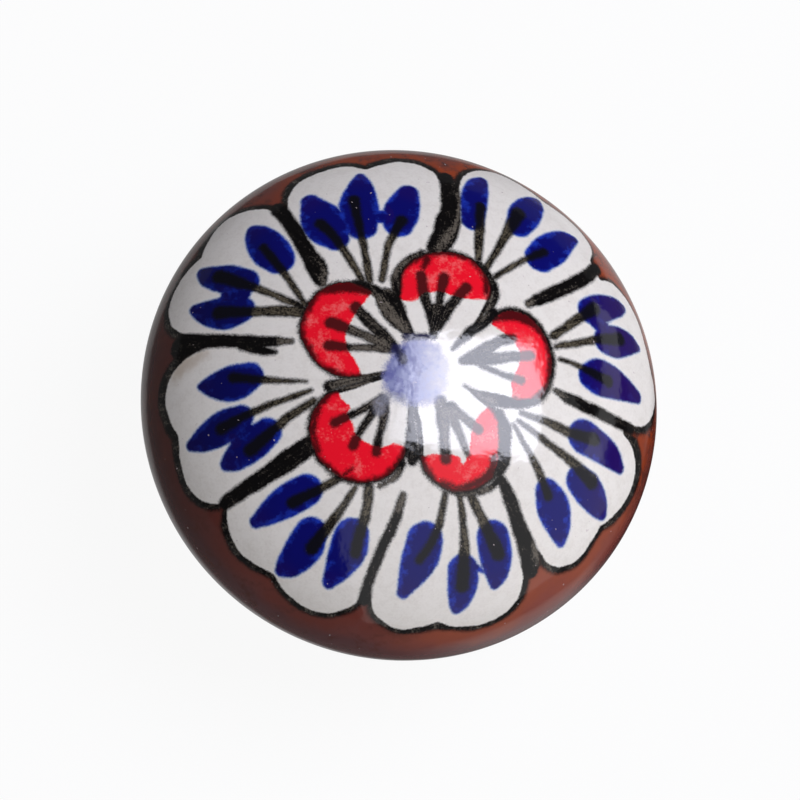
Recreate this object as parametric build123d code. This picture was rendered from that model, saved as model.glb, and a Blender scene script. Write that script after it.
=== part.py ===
from build123d import *

import os
from math import cos, pi, sin, sqrt

# Glazed ceramic cabinet knob: a domed head on a short neck and foot, with a threaded insert in its back.
# The origin is the centre of the foot's seat, and +Z runs along the axis to the top of the dome.
# Lengths are in millimetres.

# Head
HEAD_DIAMETER = 40.0
DOME_HEIGHT = 11.0
UNDERSIDE_DEPTH = 8.0

# Neck
NECK_DIAMETER = 18.0
NECK_LENGTH = 3.0
COVE_RADIUS = 2.5

# Foot
FOOT_OVERHANG = 1.5
FOOT_FLARE_HEIGHT = 3.5
FOOT_RIM_HEIGHT = 2.0
FOOT_EDGE_RADIUS = 0.6
SEAT_RING_WIDTH = 3.5
SEAT_RECESS_DEPTH = 0.5

# Threaded insert, tapped M4
INSERT_DIAMETER = 8.0
INSERT_LENGTH = 12.0
INSERT_GROOVE_WIDTH = 2.5
INSERT_GROOVE_DEPTH = 0.7
KNURL_TEETH = 28
KNURL_DEPTH = 0.25
THREAD_CORE_DIAMETER = 3.3
THREAD_COUNTERSINK = 0.5

# Blind hole in the ceramic, which holds the insert in a line of cement
CEMENT_LINE = 0.1
HOLE_MOUTH_CHAMFER = 0.4

HEAD_RADIUS = HEAD_DIAMETER / 2
NECK_RADIUS = NECK_DIAMETER / 2
FOOT_RADIUS = NECK_RADIUS + FOOT_OVERHANG
SEAT_RECESS_RADIUS = FOOT_RADIUS - SEAT_RING_WIDTH
INSERT_RADIUS = INSERT_DIAMETER / 2
HOLE_RADIUS = INSERT_RADIUS + CEMENT_LINE
THREAD_CORE_RADIUS = THREAD_CORE_DIAMETER / 2

# Heights above the seat
NECK_BOTTOM = FOOT_RIM_HEIGHT + FOOT_FLARE_HEIGHT
NECK_TOP = NECK_BOTTOM + NECK_LENGTH
WIDEST_RING = NECK_TOP + COVE_RADIUS + UNDERSIDE_DEPTH
APEX = WIDEST_RING + DOME_HEIGHT
INSERT_BOTTOM = SEAT_RECESS_DEPTH
INSERT_TOP = INSERT_BOTTOM + INSERT_LENGTH


def quarter_ellipse(start, corner, end):
    """An exact quarter of an ellipse, tangent at both ends to the sides of its corner."""
    return Bezier(start, corner, end, weights=(1, sqrt(1 / 2), 1))


def ceramic_section():
    """Half section of the ceramic, as radius and height, with its seat and the insert's blind hole."""
    neck_edge = NECK_RADIUS + COVE_RADIUS
    underside = NECK_TOP + COVE_RADIUS
    rim_corner = (FOOT_RADIUS, FOOT_RIM_HEIGHT)
    section = make_face([
        quarter_ellipse((0, APEX), (HEAD_RADIUS, APEX), (HEAD_RADIUS, WIDEST_RING)),
        quarter_ellipse((HEAD_RADIUS, WIDEST_RING), (HEAD_RADIUS, underside), (neck_edge, underside)),
        quarter_ellipse((neck_edge, underside), (NECK_RADIUS, underside), (NECK_RADIUS, NECK_TOP)),
        Line((NECK_RADIUS, NECK_TOP), (NECK_RADIUS, NECK_BOTTOM)),
        quarter_ellipse((NECK_RADIUS, NECK_BOTTOM), (NECK_RADIUS, FOOT_RIM_HEIGHT), rim_corner),
        Polyline(
            rim_corner,
            (FOOT_RADIUS, 0),
            (SEAT_RECESS_RADIUS, 0),
            (SEAT_RECESS_RADIUS, INSERT_BOTTOM),
            (HOLE_RADIUS + HOLE_MOUTH_CHAMFER, INSERT_BOTTOM),
            (HOLE_RADIUS, INSERT_BOTTOM + HOLE_MOUTH_CHAMFER),
            (HOLE_RADIUS, INSERT_TOP),
            (0, INSERT_TOP),
            (0, APEX),
        ),
    ])
    below_neck = section.vertices().filter_by(lambda corner: corner.Y < NECK_BOTTOM)
    rim_corners = below_neck.filter_by(lambda corner: corner.X > NECK_RADIUS)
    return fillet(rim_corners, FOOT_EDGE_RADIUS)


def ceramic_knob():
    """The one-piece ceramic, turned about its axis."""
    return revolve(Plane.XZ * ceramic_section(), Axis.Z)


def knurl():
    """A bar of V teeth, as long as the insert."""
    half_pitch = pi / KNURL_TEETH
    outline = []
    for i in range(2 * KNURL_TEETH):
        radius = INSERT_RADIUS - KNURL_DEPTH * (i % 2)
        outline.append((radius * cos(i * half_pitch), radius * sin(i * half_pitch)))
    return Pos(0, 0, INSERT_BOTTOM) * extrude(Polygon(*outline, align=None), INSERT_LENGTH)


def threaded_insert():
    """The brass insert: two knurled bands with a groove between them, bored to the core of its thread."""
    band = (INSERT_LENGTH - INSERT_GROOVE_WIDTH) / 2
    groove_radius = INSERT_RADIUS - INSERT_GROOVE_DEPTH
    section = Polygon(
        (THREAD_CORE_RADIUS + THREAD_COUNTERSINK, INSERT_BOTTOM),
        (INSERT_RADIUS, INSERT_BOTTOM),
        (INSERT_RADIUS, INSERT_BOTTOM + band),
        (groove_radius, INSERT_BOTTOM + band),
        (groove_radius, INSERT_TOP - band),
        (INSERT_RADIUS, INSERT_TOP - band),
        (INSERT_RADIUS, INSERT_TOP),
        (THREAD_CORE_RADIUS, INSERT_TOP),
        (THREAD_CORE_RADIUS, INSERT_BOTTOM + THREAD_COUNTERSINK),
        align=None,
    )
    return revolve(Plane.XZ * section, Axis.Z) & knurl()


os.makedirs("parts", exist_ok=True)
export_step(ceramic_knob(), "parts/ceramic_knob.step")
export_step(threaded_insert(), "parts/threaded_insert.step")
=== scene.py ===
from collections import namedtuple
from math import atan2, cos, pi, radians, sin

import bmesh
import bpy
import numpy as np
from mathutils import Matrix, Vector


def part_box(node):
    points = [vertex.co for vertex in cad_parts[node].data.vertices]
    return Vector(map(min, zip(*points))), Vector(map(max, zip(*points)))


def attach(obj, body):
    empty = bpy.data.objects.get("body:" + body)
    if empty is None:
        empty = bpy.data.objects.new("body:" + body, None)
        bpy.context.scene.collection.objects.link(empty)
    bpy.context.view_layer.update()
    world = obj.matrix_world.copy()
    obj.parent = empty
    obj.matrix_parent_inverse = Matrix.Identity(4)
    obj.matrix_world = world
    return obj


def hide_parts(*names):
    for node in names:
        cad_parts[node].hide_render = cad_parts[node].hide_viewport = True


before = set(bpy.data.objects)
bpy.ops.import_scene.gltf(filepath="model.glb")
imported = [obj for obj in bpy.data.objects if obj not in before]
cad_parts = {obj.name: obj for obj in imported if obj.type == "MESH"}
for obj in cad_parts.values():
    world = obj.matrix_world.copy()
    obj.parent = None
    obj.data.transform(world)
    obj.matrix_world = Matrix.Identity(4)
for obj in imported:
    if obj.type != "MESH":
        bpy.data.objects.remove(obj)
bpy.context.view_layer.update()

# Sizes are in millimetres and the scene is in metres
MM = 0.001

# The ceramic, with the sizes of the part
HEAD_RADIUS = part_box("ceramic_knob")[1].x / MM
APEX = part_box("ceramic_knob")[1].z / MM
DOME_HEIGHT = 11.0
UNDERSIDE_DEPTH = 8.0
NECK_RADIUS = 9.0
COVE_RADIUS = 2.5
NECK_LENGTH = 3.0
FOOT_RADIUS = 10.5
FOOT_RIM_HEIGHT = 2.0
FOOT_EDGE_RADIUS = 0.6
SEAT_RECESS_RADIUS = 7.0
SEAT_RECESS_DEPTH = 0.5
HOLE_RADIUS = 4.1
HOLE_MOUTH_CHAMFER = 0.4
HOLE_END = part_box("threaded_insert")[1].z / MM

# The insert, tapped M4
INSERT_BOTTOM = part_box("threaded_insert")[0].z / MM
INSERT_RADIUS = 4.0
INSERT_GROOVE_WIDTH = 2.5
INSERT_GROOVE_DEPTH = 0.7
KNURL_TEETH = 28
KNURL_DEPTH = 0.25
THREAD_RADIUS = 2.0
THREAD_CORE_RADIUS = 1.65
THREAD_PITCH = 0.7
THREAD_CREST = THREAD_PITCH / 4
THREAD_ROOT = THREAD_PITCH / 8
THREAD_COUNTERSINK = 0.5
THREAD_STEPS = 48

WIDEST_RING = APEX - DOME_HEIGHT
UNDERSIDE = WIDEST_RING - UNDERSIDE_DEPTH
NECK_TOP = UNDERSIDE - COVE_RADIUS
NECK_BOTTOM = NECK_TOP - NECK_LENGTH

# How finely the ceramic is turned
TURN_SECTORS = 30
SECTOR_STEPS = 18
DOME_RINGS = 143
UNDERSIDE_RINGS = 16
COVE_RINGS = 6
FLARE_RINGS = 5
EDGE_RINGS = 3
SHARP_ANGLE = radians(35)

# Points closer than this are welded, in metres
WELD_DISTANCE = 1e-7
THREAD_WELD_DISTANCE = 1e-6

# Where the glaze stops on the foot, and how far past an edge a place still counts as on it
GLAZE_LINE = 0.9
EDGE_SLACK = 0.01

# Distances to paint are worked out within reach of it, and places beyond that count as far
REACH = 3.2
FAR = 9.0

# Keeps a division away from zero
TINY = 1e-9

# How many steps a line takes between two of its points, and how far red may run past a cup's edge
STEPS_PER_SPAN = 5
RED_SPILL = 0.25

# The paint is laid out on the dome unrolled flat, as millimetres right and up from the top of the dome.
# Each place is (right, up), and a brush stroke's third number is its half width there.

# The petals' scalloped outlines, round the flower from the top and going left
SCALLOPS = (
    # Top
    ((2.1, 16.6, 0.5), (1.6, 17.7, 0.6), (0.3, 18.6, 0.7), (-1.2, 18.75, 0.75), (-2.6, 18.2, 0.8),
     (-3.6, 17.7, 0.6)),
    ((-3.6, 17.7, 0.6), (-5.3, 18.35, 0.7), (-7.2, 17.95, 0.75), (-9.0, 16.9, 0.8), (-9.8, 15.3, 0.7),
     (-9.9, 13.9, 0.3)),
    # Upper left
    ((-10.4, 13.2, 0.3), (-11.6, 14.1, 0.6), (-13.3, 14.55, 0.6), (-15.2, 14.4, 0.6), (-16.3, 13.3, 0.7),
     (-16.9, 11.8, 0.8), (-17.1, 10.7, 0.8)),
    ((-17.1, 10.7, 0.8), (-18.5, 9.7, 0.7), (-19.6, 8.2, 0.6), (-20.0, 6.4, 0.6), (-19.5, 4.8, 0.7),
     (-18.4, 3.85, 0.7), (-17.0, 3.4, 0.4)),
    # Left
    ((-17.0, 2.0, 0.4), (-18.3, 1.3, 0.8), (-19.5, 0.0, 0.9), (-19.85, -1.7, 0.9), (-19.3, -3.4, 0.9),
     (-18.6, -4.5, 0.8)),
    ((-18.6, -4.5, 0.8), (-18.5, -6.5, 0.7), (-18.0, -8.4, 0.7), (-16.9, -9.6, 0.7), (-15.6, -10.0, 0.6),
     (-14.8, -9.8, 0.4)),
    # Lower left
    ((-14.5, -10.3, 0.4), (-14.45, -11.8, 0.7), (-13.9, -13.5, 0.7), (-12.5, -14.7, 0.65),
     (-10.9, -15.5, 0.55)),
    ((-10.9, -15.5, 0.55), (-10.2, -16.7, 0.55), (-8.8, -18.0, 0.6), (-7.2, -18.6, 0.55),
     (-5.6, -18.35, 0.5), (-4.3, -17.5, 0.5), (-4.0, -16.6, 0.3)),
    # Bottom
    ((-3.2, -16.8, 0.3), (-3.0, -18.1, 0.5), (-2.0, -19.2, 0.5), (-0.6, -19.8, 0.5), (1.0, -19.5, 0.6),
     (2.2, -19.0, 0.8)),
    ((2.2, -19.0, 0.8), (3.8, -19.45, 0.5), (5.8, -19.35, 0.55), (7.6, -18.5, 0.55), (8.7, -17.0, 0.6),
     (8.8, -15.4, 0.6), (8.4, -14.2, 0.4)),
    # Lower right
    ((9.8, -13.0, 0.4), (10.8, -14.0, 0.6), (12.3, -14.25, 0.6), (13.8, -13.6, 0.6), (14.7, -12.2, 0.5),
     (15.4, -10.9, 0.6)),
    ((15.4, -10.9, 0.6), (16.9, -9.9, 0.7), (18.2, -8.3, 0.8), (18.7, -6.4, 1.0), (18.1, -4.6, 1.0),
     (16.8, -3.5, 0.6)),
    # Right
    ((16.8, -2.4, 0.4), (18.6, -2.6, 0.7), (20.4, -1.8, 0.6), (21.5, -0.2, 0.4), (21.6, 1.2, 0.25),
     (20.9, 2.7, 0.2)),
    ((20.9, 2.7, 0.2), (20.4, 4.6, 0.2), (19.8, 6.8, 0.2), (18.5, 8.5, 0.25), (16.8, 9.4, 0.35),
     (15.3, 9.2, 0.4)),
    # Upper right
    ((14.6, 10.9, 0.4), (15.3, 12.6, 0.25), (14.7, 14.4, 0.25), (13.3, 15.7, 0.3), (11.5, 16.6, 0.3)),
    ((11.5, 16.6, 0.3), (10.2, 18.0, 0.3), (8.8, 19.0, 0.3), (7.2, 19.3, 0.35), (5.5, 18.6, 0.45),
     (4.2, 17.3, 0.6), (3.6, 15.6, 0.5)),
)

# The blue buds in the petals, from the stem to the tip
BUDS = (
    # Top
    ((-6.3, 10.6, 1.05), (-7.1, 12.0, 1.7), (-8.15, 14.3, 0.75)),
    ((-4.3, 11.7, 1.25), (-4.4, 13.6, 1.5), (-4.2, 15.6, 0.95), (-4.15, 16.8, 0.4)),
    ((-1.45, 11.9, 1.2), (-1.1, 13.2, 1.35), (-0.5, 14.9, 0.82)),
    ((-3.0, 12.5, 0.6), (-2.2, 12.5, 0.6)),
    # Upper left
    ((-10.6, 9.0, 1.25), (-11.35, 10.0, 1.5), (-12.1, 11.2, 1.15), (-12.65, 12.1, 0.5)),
    ((-13.1, 7.3, 1.05), (-14.5, 7.75, 1.25), (-16.0, 8.3, 0.95), (-16.95, 9.0, 0.42)),
    ((-13.5, 5.0, 1.1), (-14.7, 4.85, 1.38), (-16.2, 5.15, 1.0), (-17.3, 5.65, 0.42)),
    ((-13.3, 6.3, 0.6), (-14.7, 6.35, 0.4)),
    # Left
    ((-12.8, -0.45, 1.1), (-14.0, -0.85, 1.4), (-15.4, -0.9, 0.95), (-16.5, -0.88, 0.35)),
    ((-13.4, -3.55, 0.95), (-14.7, -4.2, 1.3), (-16.2, -4.95, 1.0), (-17.4, -5.4, 0.45)),
    ((-11.4, -4.75, 1.08), (-12.5, -5.6, 1.25), (-13.7, -6.5, 1.0), (-14.5, -7.0, 0.5)),
    ((-12.8, -4.6, 0.6), (-13.7, -5.3, 0.5)),
    # Lower left
    ((-8.4, -9.1, 1.2), (-9.7, -9.8, 1.25), (-11.1, -10.7, 0.9), (-12.2, -11.4, 0.48)),
    ((-8.0, -12.3, 1.25), (-8.5, -13.4, 1.4), (-9.5, -14.6, 1.05), (-10.25, -15.2, 0.5)),
    ((-4.95, -12.4, 1.3), (-5.2, -13.6, 1.4), (-5.9, -15.0, 0.95), (-6.5, -16.0, 0.5)),
    # Bottom
    ((0.6, -12.6, 1.35), (0.35, -13.9, 1.4), (-0.2, -15.3, 1.0), (-0.75, -16.6, 0.5)),
    ((3.7, -14.7, 1.15), (3.85, -15.9, 1.2), (3.75, -17.2, 0.85), (3.65, -17.85, 0.45)),
    ((5.85, -12.2, 1.25), (6.2, -13.4, 1.3), (6.5, -14.8, 0.95), (6.45, -15.8, 0.4)),
    ((4.6, -14.5, 0.3), (5.4, -14.8, 0.12)),
    # Lower right
    ((12.9, -4.15, 1.3), (14.0, -4.6, 1.25), (15.5, -5.3, 1.0), (16.7, -6.2, 0.45)),
    ((12.75, -7.5, 1.15), (13.7, -8.2, 1.3), (14.7, -9.2, 1.0), (15.4, -10.0, 0.45)),
    ((10.05, -8.6, 1.0), (10.7, -9.8, 1.38), (11.35, -11.2, 0.98), (11.7, -12.3, 0.42)),
    # Right
    ((13.6, 0.6, 1.12), (14.6, 0.6, 1.48), (16.6, 0.2, 1.08), (18.4, -0.25, 0.52)),
    ((15.0, 3.7, 1.0), (16.0, 3.85, 1.35), (17.6, 4.15, 0.98), (18.9, 4.1, 0.33)),
    ((13.8, 6.0, 1.12), (15.0, 6.5, 1.18), (16.5, 7.05, 0.88), (17.5, 7.25, 0.42)),
    ((14.3, 5.3, 0.75), (15.1, 4.7, 0.65)),
    # Upper right
    ((9.7, 9.9, 1.25), (10.9, 11.0, 1.38), (12.3, 12.2, 0.95), (13.4, 12.7, 0.4)),
    ((8.2, 12.6, 1.0), (8.9, 13.9, 1.32), (9.9, 15.3, 1.05), (10.6, 16.2, 0.5)),
    ((4.4, 12.6, 0.92), (4.7, 14.5, 1.08), (5.2, 16.2, 0.95), (5.75, 17.2, 0.5)),
)

# The stems of the buds
STEMS = (
    # Top
    ((-4.4, 7.0, 0.3), (-5.6, 9.4, 0.34), (-6.6, 11.0, 0.42), (-7.4, 12.0, 0.5)),
    ((-3.8, 6.9, 0.32), (-4.2, 10.0, 0.33), (-4.5, 12.0, 0.38), (-4.75, 14.2, 0.5)),
    ((-2.9, 7.0, 0.3), (-2.35, 9.7, 0.33), (-1.6, 11.4, 0.4), (-1.15, 12.2, 0.5)),
    # Upper left
    ((-8.6, 5.0, 0.28), (-9.7, 6.9, 0.32), (-10.6, 8.4, 0.36), (-11.8, 10.2, 0.4)),
    ((-8.9, 4.9, 0.3), (-12.2, 6.6, 0.36), (-13.6, 7.3, 0.5), (-15.3, 8.2, 0.6)),
    ((-8.8, 4.45, 0.5), (-10.5, 4.6, 0.48), (-12.3, 4.7, 0.42), (-15.2, 4.95, 0.58)),
    # Left
    ((-8.5, -1.0, 0.14), (-10.2, -0.9, 0.24), (-11.8, -0.75, 0.32), (-14.0, -0.4, 0.45)),
    ((-8.15, -1.65, 0.2), (-10.2, -2.35, 0.27), (-12.6, -3.2, 0.32), (-14.9, -4.3, 0.5)),
    ((-8.0, -2.5, 0.32), (-9.6, -3.5, 0.38), (-10.6, -4.3, 0.42), (-12.6, -6.0, 0.55)),
    # Lower left
    ((-5.8, -8.1, 0.3), (-7.2, -8.9, 0.38), (-9.4, -10.0, 0.5)),
    ((-4.8, -8.9, 0.25), (-5.9, -10.7, 0.36), (-6.9, -12.0, 0.45), (-7.9, -13.4, 0.55)),
    ((-3.75, -8.8, 0.4), (-3.9, -10.6, 0.42), (-4.3, -12.2, 0.45), (-4.6, -13.7, 0.48)),
    # Bottom
    ((1.95, -9.3, 0.27), (1.65, -11.2, 0.33), (1.2, -12.6, 0.36), (0.3, -14.1, 0.4)),
    ((3.1, -9.4, 0.25), (3.5, -11.6, 0.33), (3.7, -13.4, 0.45), (3.8, -16.0, 0.58)),
    ((4.0, -9.4, 0.4), (5.0, -11.1, 0.42), (5.7, -12.2, 0.5), (6.4, -13.4, 0.6)),
    # Lower right
    ((7.7, -2.9, 0.26), (10.2, -3.5, 0.36), (11.7, -4.0, 0.42), (13.9, -4.3, 0.55)),
    ((7.5, -3.5, 0.25), (9.6, -4.8, 0.3), (12.0, -6.2, 0.42), (13.9, -7.5, 0.65)),
    ((7.1, -3.8, 0.16), (7.9, -5.1, 0.25), (8.7, -6.25, 0.3), (9.5, -7.6, 0.35), (10.1, -8.9, 0.42)),
    # Right
    ((10.9, 1.6, 0.2), (12.3, 1.3, 0.26), (13.6, 0.9, 0.38), (15.2, 0.45, 0.5)),
    ((10.6, 2.55, 0.27), (12.8, 3.2, 0.33), (14.6, 3.75, 0.42), (16.6, 4.2, 0.58)),
    ((10.4, 3.4, 0.36), (11.7, 4.4, 0.4), (12.9, 5.3, 0.45), (14.2, 6.3, 0.6)),
    # Upper right
    ((5.8, 7.7, 0.27), (8.2, 9.4, 0.3), (10.1, 10.5, 0.42)),
    ((5.15, 8.4, 0.28), (6.4, 10.5, 0.34), (7.3, 12.1, 0.48), (8.4, 14.0, 0.65)),
    ((4.6, 9.2, 0.34), (4.8, 11.2, 0.42), (5.05, 13.0, 0.44), (5.2, 14.1, 0.45)),
)

# The strokes that part the petals, starting at the top and going left
SEPARATORS = (
    ((1.4, 9.8, 0.85), (2.05, 11.0, 1.0), (2.45, 12.2, 1.0), (2.75, 13.6, 0.85), (2.85, 15.4, 0.82),
     (2.7, 17.0, 0.65)),
    ((-7.45, 6.9, 0.5), (-7.75, 8.1, 0.82), (-8.4, 9.4, 0.68), (-9.3, 11.4, 0.62), (-10.7, 14.0, 0.68)),
    ((-9.65, 2.15, 0.25), (-11.5, 2.2, 0.48), (-13.5, 2.4, 0.55), (-16.0, 2.7, 0.62), (-18.3, 2.6, 1.1)),
    ((-10.85, 1.35, 0.25), (-11.8, 1.55, 0.38), (-13.4, 2.0, 0.4)),
    ((-8.1, -5.7, 0.75), (-9.7, -6.8, 0.84), (-11.7, -8.1, 0.7), (-14.6, -9.9, 0.58)),
    ((-1.25, -9.4, 0.3), (-1.75, -11.3, 0.42), (-2.6, -13.3, 0.44), (-3.4, -15.6, 0.42),
     (-3.75, -17.3, 0.5)),
    ((6.2, -7.9, 0.4), (6.85, -9.0, 0.55), (7.6, -10.7, 0.6), (8.5, -12.4, 0.75), (9.2, -13.8, 0.85),
     (9.5, -14.7, 0.6)),
    ((10.5, -0.95, 0.25), (11.7, -1.45, 0.48), (13.6, -2.0, 0.5), (15.5, -2.5, 0.5), (17.6, -3.0, 0.45)),
    ((8.4, 5.75, 0.35), (9.6, 6.4, 0.55), (11.7, 7.6, 0.6), (13.75, 9.0, 0.6), (15.1, 10.3, 0.6)),
)

# Where the brush ran dry in the black
DRY_STROKES = (
    ((1.6, 9.7, 0.3), (2.3, 11.0, 0.35), (3.0, 12.0, 0.15), (3.4, 13.6, 0.1), (3.5, 15.4, 0.1)),
    ((-7.2, 6.7, 0.35), (-7.2, 7.8, 0.2), (-7.3, 8.6, 0.05)),
    ((-1.2, -9.2, 0.4), (-1.5, -10.4, 0.3)),
    ((9.3, -12.6, 0.3), (9.8, -13.7, 0.4), (10.4, -14.2, 0.3)),
    ((-9.4, 2.2, 0.3), (-10.4, 2.2, 0.3)),
    ((1.8, -19.2, 0.4), (2.5, -19.1, 0.4)),
    ((-3.7, 5.9, 0.3), (-2.8, 4.9, 0.45), (-1.9, 3.8, 0.4), (-1.2, 3.0, 0.25)),
    ((-4.0, -0.85, 0.4), (-5.1, -1.05, 0.6), (-6.3, -1.35, 0.4)),
    ((-5.2, 2.9, 0.3), (-4.0, 2.35, 0.35), (-2.9, 1.9, 0.35)),
    ((-5.0, 1.4, 0.25), (-3.6, 1.45, 0.35), (-2.6, 1.5, 0.3)),
    ((-3.4, -2.5, 0.4), (-3.0, -3.3, 0.4), (-2.6, -4.8, 0.25)),
    ((-2.4, 6.3, 0.3), (-2.1, 7.3, 0.35), (-1.3, 8.4, 0.3), (-0.2, 9.3, 0.2)),
    ((5.5, 6.3, 0.1), (5.2, 5.2, 0.15), (4.7, 4.2, 0.15)),
    ((8.2, 5.6, 0.35), (8.8, 6.0, 0.2)),
    ((10.3, -0.9, 0.3), (11.2, -1.3, 0.2)),
    ((3.2, -1.2, 0.3), (4.4, -1.85, 0.5), (5.3, -2.2, 0.4)),
    ((-1.5, -7.6, 0.25), (-2.1, -8.4, 0.3), (-3.0, -8.9, 0.3)),
    ((2.9, -9.3, 0.2), (4.3, -9.15, 0.3), (5.4, -8.7, 0.25)),
    ((1.4, -2.4, 0.3), (1.8, -4.4, 0.3), (1.9, -5.8, 0.2)),
    ((2.2, -3.1, 0.5), (3.0, -4.8, 0.4), (3.5, -6.1, 0.3)),
    ((2.6, -3.1, 0.4), (4.2, -4.3, 0.4)),
)

# The cups round the middle, with closed edges and crescents and the width of the outline
Cup = namedtuple("Cup", "edge outline crescent stamens")
CUPS = (
    # Top
    Cup(
        edge=((0.0, 0.5), (-0.6, 2.9), (-1.5, 5.0), (-1.45, 6.6), (-0.9, 8.1), (0.5, 8.95), (2.2, 9.25),
              (3.9, 8.8), (4.95, 7.7), (5.25, 6.3), (4.5, 4.6), (3.1, 2.3), (1.0, 0.2)),
        outline=0.5,
        crescent=((-2.2, 5.8), (-1.2, 5.3), (-0.4, 5.35), (0.2, 6.0), (0.9, 6.1), (1.6, 6.15), (2.4, 5.9),
                  (3.4, 5.7), (4.6, 5.75), (6.0, 6.0), (6.5, 8.5), (2.2, 10.6), (-2.4, 8.5)),
        stamens=(
            ((1.1, 3.3, 0.35), (0.5, 5.0, 0.42), (0.2, 6.2, 0.43), (0.1, 7.4, 0.42)),
            ((1.1, 3.4, 0.35), (1.35, 5.0, 0.36), (1.55, 6.2, 0.38), (1.85, 7.35, 0.44)),
            ((1.2, 3.3, 0.45), (2.1, 4.8, 0.46), (2.85, 5.8, 0.42), (3.5, 6.6, 0.48)),
            ((0.9, 2.7, 0.35), (1.0, 3.3, 0.5), (1.2, 4.4, 0.9)),
        ),
    ),
    # Left
    Cup(
        edge=((-0.5, 0.3), (-2.2, -0.1), (-4.6, -0.5), (-6.2, -0.35), (-7.4, 0.4), (-8.2, 1.5),
              (-8.75, 3.0), (-8.4, 4.4), (-7.6, 5.7), (-6.4, 6.4), (-5.1, 6.5), (-4.0, 6.0), (-3.0, 4.9),
              (-1.2, 2.6)),
        outline=0.45,
        crescent=((-3.4, 6.6), (-4.0, 5.4), (-4.6, 4.7), (-5.2, 3.6), (-5.65, 2.6), (-5.5, 1.4),
                  (-4.9, 0.5), (-4.55, -0.4), (-4.6, -1.3), (-8.5, -1.0), (-9.8, 3.0), (-8.4, 7.2),
                  (-5.0, 7.8)),
        stamens=(
            ((-1.5, 1.1, 0.25), (-2.5, 2.1, 0.5), (-3.8, 3.5, 0.5), (-4.9, 4.75, 0.46)),
            ((-2.5, 1.7, 0.4), (-3.6, 2.2, 0.42), (-5.1, 2.86, 0.4), (-6.7, 3.55, 0.5)),
            ((-1.7, 1.3, 0.3), (-3.4, 1.55, 0.36), (-5.3, 1.57, 0.32), (-6.9, 1.75, 0.45)),
        ),
    ),
    # Lower left
    Cup(
        edge=((-0.5, -0.6), (-1.0, -2.6), (-0.95, -4.5), (-1.3, -6.1), (-2.1, -7.4), (-3.2, -8.1),
              (-4.7, -8.25), (-6.0, -7.8), (-7.0, -7.0), (-7.75, -5.9), (-8.0, -4.8), (-7.9, -3.7),
              (-7.2, -2.6), (-6.3, -2.0), (-4.6, -1.5), (-2.9, -0.85)),
        outline=0.5,
        crescent=((-6.6, -1.4), (-5.9, -2.4), (-5.3, -2.95), (-5.5, -3.5), (-5.05, -4.2), (-4.8, -5.0),
                  (-4.0, -5.65), (-2.95, -5.9), (-2.0, -5.65), (-1.2, -5.85), (-0.2, -6.2), (-2.0, -9.2),
                  (-6.0, -9.2), (-9.2, -5.5), (-8.7, -2.0)),
        stamens=(
            ((-3.0, -2.3, 0.35), (-4.25, -3.1, 0.32), (-5.5, -3.7, 0.34), (-6.35, -4.1, 0.44)),
            ((-3.3, -2.7, 0.4), (-3.9, -3.8, 0.36), (-4.6, -4.9, 0.32), (-5.0, -5.8, 0.4)),
            ((-2.85, -2.5, 0.45), (-2.8, -3.8, 0.38), (-3.1, -5.1, 0.34), (-3.3, -6.3, 0.38)),
        ),
    ),
    # Lower right
    Cup(
        edge=((0.3, 0.0), (2.9, -0.9), (4.4, -2.2), (5.3, -2.9), (5.85, -3.9), (5.95, -5.4), (5.8, -6.8),
              (5.2, -7.8), (4.2, -8.5), (2.8, -8.75), (1.6, -8.35), (0.7, -7.5), (0.25, -6.4), (0.1, -4.5),
              (-0.3, -2.4)),
        outline=0.5,
        crescent=((5.6, -1.9), (4.9, -2.75), (4.3, -3.4), (3.85, -4.4), (3.75, -5.4), (3.55, -6.4),
                  (3.2, -6.95), (2.9, -6.4), (2.0, -6.3), (1.0, -6.35), (0.2, -6.5), (-0.6, -6.6),
                  (-0.8, -8.6), (2.5, -9.9), (6.6, -8.7), (7.4, -5.0), (6.6, -2.2)),
        stamens=(
            ((1.4, -2.3, 0.45), (1.65, -3.6, 0.58), (1.75, -4.9, 0.42), (1.9, -6.6, 0.45)),
            ((2.0, -2.9, 0.55), (2.7, -4.3, 0.36), (3.15, -5.3, 0.3), (3.55, -6.2, 0.26)),
            ((2.2, -2.9, 0.55), (3.4, -3.65, 0.36), (4.35, -4.4, 0.42)),
        ),
    ),
    # Right
    Cup(
        edge=((0.2, 0.3), (2.5, 2.0), (4.8, 3.5), (5.7, 4.3), (7.2, 4.75), (8.5, 4.3), (9.3, 3.3),
              (9.85, 1.9), (9.9, 0.6), (9.5, -0.7), (8.9, -1.5), (7.4, -1.8), (5.2, -1.5), (2.8, -1.2)),
        outline=0.6,
        crescent=((5.2, 4.2), (5.9, 3.5), (6.8, 2.9), (7.3, 2.3), (7.6, 1.5), (7.4, 0.6), (6.9, -0.5),
                  (6.9, -1.2), (7.3, -2.4), (10.0, -2.2), (11.4, 1.5), (9.8, 5.2), (6.5, 5.9)),
        stamens=(
            ((3.0, 0.85, 0.2), (4.7, 1.7, 0.5), (6.0, 2.5, 0.42), (7.0, 2.8, 0.4)),
            ((3.0, 0.65, 0.2), (4.8, 1.0, 0.5), (6.6, 1.3, 0.42), (8.45, 1.6, 0.42)),
            ((4.5, 0.5, 0.25), (6.1, -0.05, 0.27), (7.65, -0.4, 0.4)),
        ),
    ),
)

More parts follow.
